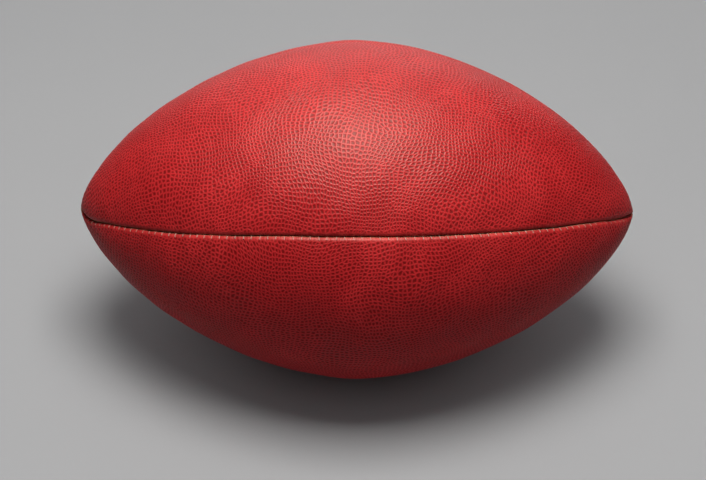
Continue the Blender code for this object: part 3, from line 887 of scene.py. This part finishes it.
def make_stitches(seam, sides, material):
    """Stitches of each stretch of a seam: a strand in the groove and short bridges over one lip."""
    name = SEAM_NAMES[seam]
    limit = float(arc_at(station_of_radius(THREAD_MIN_RADIUS)))
    zone = float(arc_at((LACE_ZONE + THREAD_LACE_GAP) / HALF_LENGTH))
    spans = {"": (-limit, limit), "_left": (-limit, -zone), "_right": (zone, limit)}
    rng = np.random.default_rng(11 + seam)
    angles = [math.tau * i / 8.0 for i in range(8)]
    section = [(STITCH_RADIUS * math.cos(angle), STITCH_RADIUS * math.sin(angle)) for angle in angles]
    for side in sides:
        low, high = spans[side]
        pieces = []
        arcs = np.arange(low, high, 0.0007)
        depths = STRAND_DEPTH + 0.00020 * np.cos(arcs * math.tau / STITCH_PITCH)
        strand = surface(seam, station_at(arcs), 0.0, depths)
        wides = surface(seam, station_at(arcs), 0.0, 0.0) - strand
        pieces.append(sweep(strand, wides, [section] * len(arcs)))
        for centre in np.arange(low + STITCH_PITCH / 2.0, high - STITCH_PITCH / 2.0, STITCH_PITCH):
            centre = centre + rng.uniform(-0.00025, 0.00025)
            reach = rng.uniform(0.85, 1.15)
            lean = rng.uniform(0.0001, 0.0005)
            profile = [(0.00005, STRAND_DEPTH), (0.0, 0.00170)]
            profile += [(-s, lip_depth(s) - 0.3 * STITCH_RADIUS)
                        for s in (0.00026, 0.00042, 0.00070 * reach, 0.00105 * reach, 0.00140 * reach)]
            profile.append((-0.00165 * reach, lip_depth(0.00165) + 2.0 * STITCH_RADIUS))
            rows = [surface(seam, station_at(centre + lean * (i - 4) / 4.0), s, d)
                    for i, (s, d) in enumerate(profile)]
            rows = through([[*row] for row in rows], 3)
            along = surface(seam, station_at(centre + 0.001), -0.0005, 0.0) - rows[6]
            pieces.append(sweep(rows, [along] * len(rows), [section] * len(rows)))
        verts, faces, count = [], [], 0
        for points, quads in pieces:
            verts.append(points)
            faces += [tuple(v + count for v in face) for face in quads]
            count += len(points)
        obj = mesh_object("stitching_" + name + side, np.concatenate(verts), faces)
        finish_piece(obj, material, "thread", "seam_thread_" + name + side)


def turned(profile, matrix, segments, closed):
    """Points and faces of a surface turned about local Z from (radius, height) points."""
    verts, rings, faces = [], [], []
    for radius, height in profile:
        if radius < 1e-6:
            rings.append([len(verts)] * segments)
            verts.append(tuple(matrix @ Vector((0.0, 0.0, height))))
            continue
        rings.append(list(range(len(verts), len(verts) + segments)))
        for i in range(segments):
            angle = math.tau * i / segments
            place = Vector((radius * math.cos(angle), radius * math.sin(angle), height))
            verts.append(tuple(matrix @ place))
    for first, second in list(zip(rings, rings[1:])) + ([(rings[-1], rings[0])] if closed else []):
        for i in range(segments):
            k = (i + 1) % segments
            face = tuple(dict.fromkeys((first[i], first[k], second[k], second[i])))
            if len(face) > 2:
                faces.append(face)
    return verts, faces


def make_turned(name, profile, material, slot, node, matrix, closed=True):
    verts, faces = turned(profile, matrix, 96, closed)
    finish_piece(mesh_object(name, verts, faces), material, slot, node, degrees=40.0)


def rounded(points, radius, steps=4):
    """The (radius, height) profile of (radius, height, soft) points, with the soft corners rounded."""
    out = []
    count = len(points)
    for i, (r, z, soft) in enumerate(points):
        here = np.array((r, z))
        if not soft:
            out.append(tuple(here))
            continue
        before = np.array(points[i - 1][:2]) - here
        after = np.array(points[(i + 1) % count][:2]) - here
        reach = min(radius, 0.45 * np.linalg.norm(before), 0.45 * np.linalg.norm(after))
        start = here + before / np.linalg.norm(before) * reach
        end = here + after / np.linalg.norm(after) * reach
        for k in range(steps + 1):
            s = k / steps
            out.append(tuple((1 - s) ** 2 * start + 2 * s * (1 - s) * here + s * s * end))
    return out


def make_valve(rubber, disc, seal):
    pocket = PLUG_RADIUS + PLUG_GAP
    pocket_top = -PLUG_TOP + PLUG_GAP
    pocket_bottom = -PLUG_TOP - PLUG_LENGTH - PLUG_GAP
    place = valve_frame(VALVE_RECESS)
    stem = rounded([(NEEDLE_RADIUS, -0.0009, False), (NEEDLE_RADIUS, -0.0007, False),
                    (0.0017, -0.0001, True), (0.0024, -0.00035, True),
                    (0.0028, 0.0, True), (STEM_RADIUS, 0.0, True),
                    (STEM_RADIUS, -STEM_LENGTH, True), (NEEDLE_RADIUS, -STEM_LENGTH, False),
                    (NEEDLE_RADIUS, pocket_bottom, False), (pocket, pocket_bottom, False),
                    (pocket, pocket_top, False), (NEEDLE_RADIUS, pocket_top, False)], 0.0004)
    make_turned("valve_body", stem, rubber, "valve", "valve_stem", place)
    bottom = -PLUG_TOP - PLUG_LENGTH
    plug = rounded([(0.0, -PLUG_TOP, False), (PLUG_RADIUS, -PLUG_TOP, True),
                    (PLUG_RADIUS, bottom, True), (0.0, bottom, False)], 0.0005)
    make_turned("valve_seal", plug, seal, "plug", "valve_plug", place, closed=False)
    under = -BASE_TOP - BASE_THICKNESS
    base = rounded([(VALVE_HOLE_RADIUS, -BASE_TOP, False), (BASE_RADIUS - BASE_BEVEL, -BASE_TOP, True),
                    (BASE_RADIUS, under + 0.0006, True), (BASE_RADIUS, under, False),
                    (VALVE_HOLE_RADIUS, under, False)], 0.0008)
    make_turned("valve_patch", base, disc, "valve", "valve_base", place)


# ---- layers inside
def layer(name, seam, ts, offsets_of, top, thickness):
    """Closed sheet between two depths; offsets_of gives the offsets across it at a station."""
    grid = [[surface(seam, t, s, depth) for s in offsets_of(t)]
            for depth in (top, top + thickness) for t in ts]
    columns = len(grid[0])
    rows = len(ts)
    verts = [point for row in grid for point in row]
    faces = []
    for half in (0, rows * columns):
        for i in range(rows - 1):
            for j in range(columns - 1):
                a = half + i * columns + j
                faces.append((a, a + columns, a + columns + 1, a + 1))
    under = rows * columns
    rim = list(range(columns))
    rim += [i * columns + columns - 1 for i in range(1, rows)]
    rim += [(rows - 1) * columns + j for j in range(columns - 2, -1, -1)]
    rim += [i * columns for i in range(rows - 2, 0, -1)]
    for a, b in zip(rim, rim[1:] + rim[:1]):
        faces.append((a, b, under + b, under + a))
    return mesh_object(name, np.array(verts), faces)


def add_flat(obj, panel):
    along, across, _ = flat_place(panel, vertex_array(obj.data))
    add_attribute(obj.data, "flat", np.stack([along, across, np.zeros_like(along)], axis=-1))


def make_lining(panel, material, cutters):
    limit = station_of_radius(LINING_MIN_RADIUS) - 0.004
    reach = float(arc_at(limit))
    arcs = np.linspace(-reach, reach, 161)
    ts = station_at(arcs)

    def offsets(t):
        return np.linspace(LINING_EDGE, float(panel_width(panel, t)) - LINING_EDGE, 65)

    obj = layer("canvas_" + PANEL_NAMES[panel], panel, ts, offsets, LINING_TOP, LINING)
    if cutters:
        cut_away(obj, cutters)
    add_flat(obj, panel)
    finish_piece(obj, material, "lining", "lining_" + PANEL_NAMES[panel])


def box_cutter(name):
    """Window that clears the linings away around the lace opening."""
    half_width = RADIUS * math.sin(SEAM_SPACING / PANEL_SPANS) + WINDOW_SIDE_MARGIN
    place = lace_frame(0.0, 0.0, 0.0)
    half_length = FACING_HALF_LENGTH + WINDOW_END_MARGIN
    corners = [(sx * half_length, sy * half_width, sz * WINDOW_HEIGHT / 2.0)
               for sx in (-1, 1) for sy in (-1, 1) for sz in (-1, 1)]
    verts = [tuple(place @ Vector(c)) for c in corners]
    faces = [(0, 1, 3, 2), (4, 6, 7, 5), (0, 4, 5, 1), (2, 3, 7, 6), (0, 2, 6, 4), (1, 5, 7, 3)]
    return mesh_object(name, verts, faces)


def make_facing(side, panel, material, cutters):
    ts = np.linspace(-FACING_HALF_LENGTH, FACING_HALF_LENGTH, 81) / HALF_LENGTH

    def offsets(t):
        return side * np.linspace(FACING_EDGE, float(panel_width(panel, t)) / PANEL_SPANS, 17)

    obj = layer("strip_" + PANEL_NAMES[panel], LACE_SEAM, ts, offsets, LINING_TOP, FACING)
    cut_away(obj, cutters)
    add_flat(obj, panel)
    finish_piece(obj, material, "facing", "facing_" + PANEL_NAMES[panel])


def make_guard(material):
    ts = np.linspace(-GUARD_HALF_LENGTH, GUARD_HALF_LENGTH, 81) / HALF_LENGTH
    obj = layer("flap", LACE_SEAM, ts, lambda t: np.linspace(-GUARD_HALF_WIDTH, GUARD_HALF_WIDTH, 33),
                GUARD_TOP, GUARD)
    add_flat(obj, LACE_SEAM)
    finish_piece(obj, material, "guard", "bladder_guard")


def make_bladder(material, cutters):
    """Rubber bag of an outer and an inner wall, with a hole for the valve."""
    ts = np.sin(np.linspace(-math.pi / 2.0, math.pi / 2.0, 121))
    turn = Matrix.Rotation(math.pi / 2.0, 4, "Y")
    verts, faces = [], []
    for depth, inner in ((BLADDER_DEPTH, False), (BLADDER_DEPTH + BLADDER_WALL, True)):
        profile = [((RADIUS - depth) * float(fullness(t)), (HALF_LENGTH - depth) * t) for t in ts]
        wall_verts, wall_faces = turned(profile, turn, 128, False)
        if inner:
            wall_faces = [face[::-1] for face in wall_faces]
        faces += [tuple(v + len(verts) for v in face) for face in wall_faces]
        verts += wall_verts
    obj = mesh_object("air_bag", verts, faces, turn_out=False)
    cut_away(obj, cutters)
    finish_piece(obj, material, "bladder", "bladder")


# ---- camera, lights and floor
def make_camera():
    """Camera in front of the ball and above it, looking down at its middle."""
    low, high = math.cos(CAMERA_ELEVATION), math.sin(CAMERA_ELEVATION)
    forward = Vector((0.0, low, -high))
    level = Vector((1.0, 0.0, 0.0))
    above = Vector((0.0, high, low))
    right = level * math.cos(CAMERA_ROLL) + above * math.sin(CAMERA_ROLL)
    up = above * math.cos(CAMERA_ROLL) - level * math.sin(CAMERA_ROLL)
    matrix = Matrix((right, up, -forward)).transposed().to_4x4()
    matrix.translation = -forward * CAMERA_DISTANCE - above * CAMERA_LOWERED - level * CAMERA_LEFT
    data = bpy.data.cameras.new("camera")
    data.sensor_width = 36.0
    data.lens = CAMERA_LENS
    camera = bpy.data.objects.new("camera", data)
    camera.matrix_world = matrix
    bpy.context.scene.collection.objects.link(camera)
    bpy.context.scene.camera = camera


def add_light(name, place, target, size, power, colour, shine_only=False):
    """Rectangular lamp aimed at a point; a shine_only one shows in the gloss and lights nothing else."""
    data = bpy.data.lights.new(name, "AREA")
    data.shape = "RECTANGLE"
    data.size, data.size_y = size
    data.energy = power
    data.color = colour
    light = bpy.data.objects.new(name, data)
    way = Vector(target) - Vector(place)
    light.matrix_world = Matrix.Translation(place) @ way.to_track_quat("-Z", "Y").to_matrix().to_4x4()
    light.visible_diffuse = not shine_only
    bpy.context.scene.collection.objects.link(light)
    return light


def make_stage(lowest):
    """Pale floor, dim surroundings and soft lights; the widest light falls on the floor alone."""
    verts = [(x * FLOOR_HALF, y * FLOOR_HALF, lowest) for x, y in ((-1, -1), (1, -1), (1, 1), (-1, 1))]
    floor = mesh_object("floor", verts, [(0, 1, 2, 3)])
    floor.data.materials.append(floor_material())
    world = bpy.data.worlds.new("world")
    bpy.context.scene.world = world
    world.use_nodes = True
    back = world.node_tree.nodes["Background"]
    back.inputs["Color"].default_value = rgb(1.0, 0.99, 0.98)
    back.inputs["Strength"].default_value = 0.018
    middle = (0.0, 0.0, 0.0)
    add_light("overhead", (0.0, -0.10, 0.95), middle, (0.50, 0.46), 14.2, (1.0, 0.95, 0.89))
    add_light("shine", (0.0, -0.03, 0.95), middle, (0.50, 0.46), 62.0, (1.0, 0.90, 0.80), True)
    add_light("rim", (0.0, 1.20, 0.50), (0.0, 0.0, 0.05), (1.40, 0.30), 12.0, (1.0, 0.90, 0.82), True)
    add_light("back_fill", (0.0, 1.50, 0.12), middle, (1.60, 0.60), 6.5, (1.0, 0.97, 0.93))
    wash = add_light("floor_wash", (0.0, 0.0, 4.0), middle, (12.0, 12.0), 260.0, (1.0, 0.98, 0.95))
    lit = bpy.data.collections.new("floor_only")
    lit.objects.link(floor)
    wash.light_linking.receiver_collection = lit


def build():
    make_camera()
    scene = bpy.context.scene
    scene.view_settings.view_transform = "Standard"
    scene.view_settings.look = "None"
    make_stage(float(cad_box[0][2]) - FLOOR_GAP)
    leather = leather_material()
    grain_tree = grain_modifier_tree()
    slots = slot_cutter("lace_slots")
    valve_hole = round_cutter("valve_hole", VALVE_HOLE_RADIUS)
    window = box_cutter("window")
    before, after = LACE_SEAM - 1, LACE_SEAM
    cuts = {before: [slots, valve_hole], after: [slots]}
    for panel in range(4):
        make_panel(panel, leather, cuts.get(panel, []), grain_tree)
    canvas = cloth_material("canvas", rgb(0.66, 0.62, 0.54), rgb(0.36, 0.32, 0.26), 0.0008)
    facing = cloth_material("rubberised_cloth", rgb(0.13, 0.115, 0.10), rgb(0.045, 0.04, 0.036), 0.0006)
    flap = cloth_material("flap_cloth", rgb(0.27, 0.16, 0.09), rgb(0.12, 0.07, 0.04), 0.0005)
    linings = {before: [window, valve_hole], after: [window]}
    for panel in range(4):
        make_lining(panel, canvas, linings.get(panel, []))
    make_facing(-1, before, facing, [slots])
    make_facing(1, after, facing, [slots])
    make_lace(lace_material())
    rubber = rubber_material("valve_rubber", rgb(0.012, 0.012, 0.013), rgb(0.05, 0.048, 0.046), 0.55)
    bag = rubber_material("bladder_rubber", rgb(0.010, 0.010, 0.011), rgb(0.035, 0.034, 0.033), 0.42)
    seal = rubber_material("plug_rubber", rgb(0.20, 0.035, 0.028), rgb(0.30, 0.07, 0.055), 0.6)
    make_bladder(bag, [valve_hole])
    make_guard(flap)
    make_valve(rubber, bag, seal)
    thread = thread_material()
    for seam in range(4):
        make_stitches(seam, ("_left", "_right") if seam == LACE_SEAM else ("",), thread)
    for cutter in (slots, valve_hole, window):
        bpy.data.objects.remove(cutter)


build()
